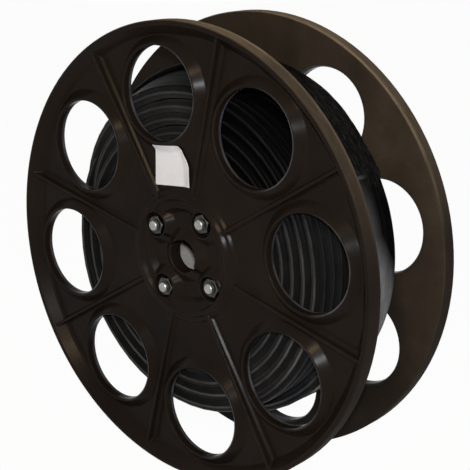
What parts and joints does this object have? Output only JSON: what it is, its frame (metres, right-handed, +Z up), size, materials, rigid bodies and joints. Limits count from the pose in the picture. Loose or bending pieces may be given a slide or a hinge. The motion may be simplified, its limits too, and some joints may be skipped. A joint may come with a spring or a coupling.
{
  "type": "plastic cable drum",
  "caption": "Cable drum of two moulded plastic flanges with round collared windows and ribs, bolted over a barrel and wound with black cable; it turns on an arbor or stands on its rims.",
  "frame": {"origin": "on the floor, under the middle of the drum", "axes": "+Y along the drum's axis from the front flange to the back one, +Z up, +X to the right seen from the front"},
  "size_m": [0.4999, 0.149, 0.5],
  "materials": {
    "flange_plastic": "satin black-brown moulding",
    "fibre_board": "bare grey board",
    "cable_sheath": "black sheath with a soft sheen",
    "film": "crinkled glossy film",
    "zinc": "bright zinc plate",
    "paper": "blank white paper"
  },
  "bodies": {
    "root": {"front_flange": "flange_plastic", "back_flange": "flange_plastic", "barrel": "fibre_board", "cable_winding": "cable_sheath", "wrap_film": "film", "label": "paper", "tie_bolt_1": "zinc", "tie_bolt_2": "zinc", "tie_bolt_3": "zinc", "tie_bolt_4": "zinc", "nut_1": "zinc", "nut_2": "zinc", "nut_3": "zinc", "nut_4": "zinc"}
  },
  "joints": []
}
